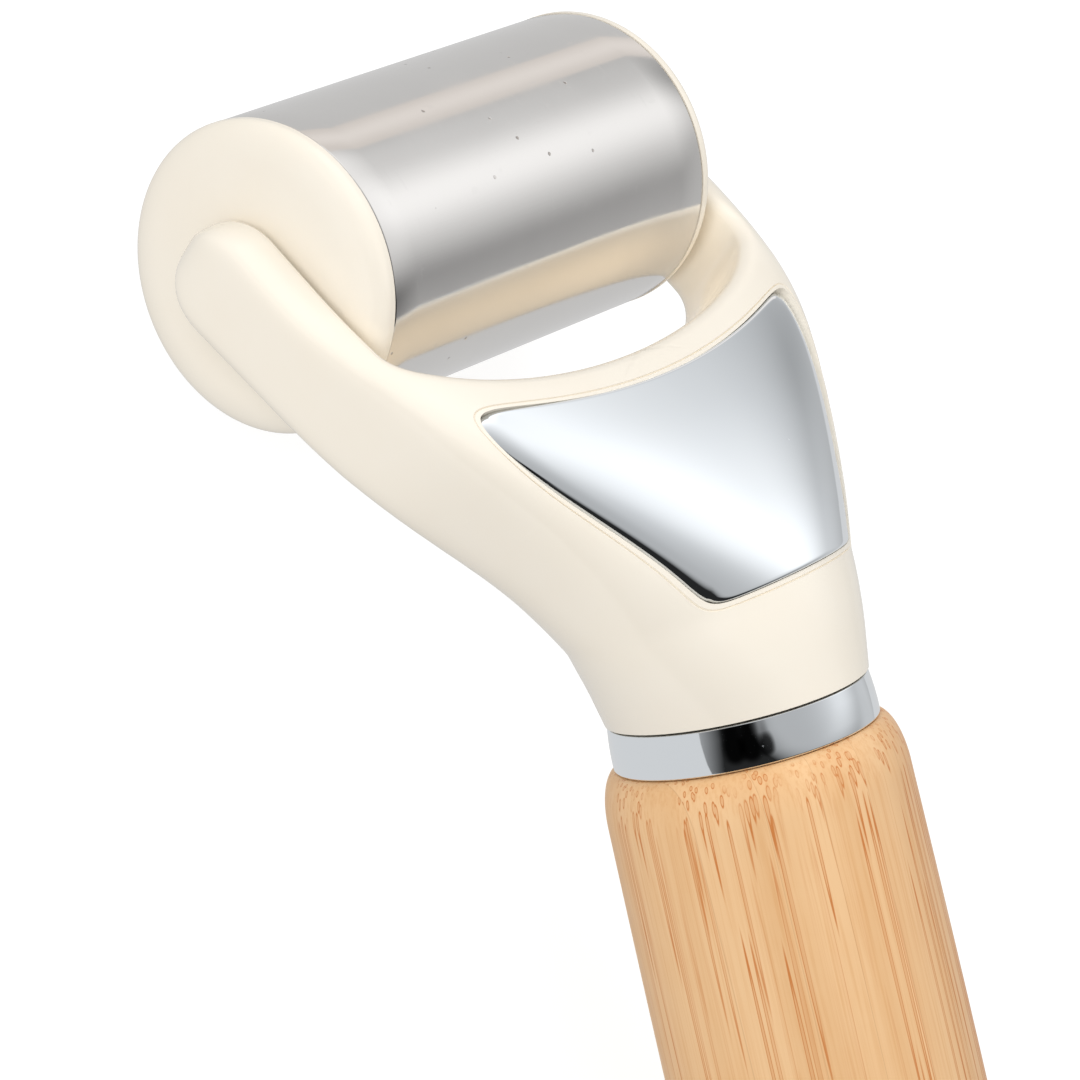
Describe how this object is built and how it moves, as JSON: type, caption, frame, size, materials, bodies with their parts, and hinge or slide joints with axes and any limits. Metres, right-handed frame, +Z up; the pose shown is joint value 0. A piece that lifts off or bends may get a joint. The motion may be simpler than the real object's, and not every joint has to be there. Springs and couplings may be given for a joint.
{
  "type": "facial cooling roller",
  "caption": "Facial cooling and massage roller: a polished steel drum spins between the arms of a cream plastic fork with a chrome shield, over a chrome collar and a bamboo handle.",
  "frame": {"origin": "centre of the base of the box of the roller as it lies on a table, on its drum and on the rim of its butt, shield up", "axes": "+Z up; +X along the drum's axis; +Y from the handle towards the drum, the longest extent"},
  "size_m": [0.0834, 0.193, 0.0539],
  "materials": {
    "cream_plastic": "glossy cream moulded plastic",
    "polished_steel": "polished stainless steel with fine scratches",
    "chrome_plate": "bright chrome plating",
    "bamboo": "sanded laminated bamboo with a thin clear coat",
    "pin_steel": "ground steel",
    "zinc_steel": "zinc plated",
    "brass": "machined",
    "black_rubber": "matte",
    "foam_tape": "adhesive foam",
    "gel": "soft set gel",
    "acetal": "natural acetal"
  },
  "bodies": {
    "handle_assembly": {"yoke": "cream_plastic", "left_arm_bush": "acetal", "right_arm_bush": "acetal", "left_thrust_washer": "acetal", "right_thrust_washer": "acetal", "shield_plate": "chrome_plate", "shield_tape": "foam_tape", "neck_bolt": "zinc_steel", "neck_washer": "zinc_steel", "collar_ring": "chrome_plate", "neck_gasket": "black_rubber", "handle_insert": "brass", "handle": "bamboo"},
    "drum": {"drum_shell": "polished_steel", "left_end_cap": "cream_plastic", "right_end_cap": "cream_plastic", "left_pivot_pin": "pin_steel", "right_pivot_pin": "pin_steel", "left_cap_seal": "black_rubber", "right_cap_seal": "black_rubber", "cooling_gel": "gel"}
  },
  "joints": [
    {"name": "drum_spin", "type": "hinge", "parent": "handle_assembly", "child": "drum", "pos_m": [0, 0.07746, 0.01905], "axis": [1, 0, 0], "continuous": true}
  ]
}
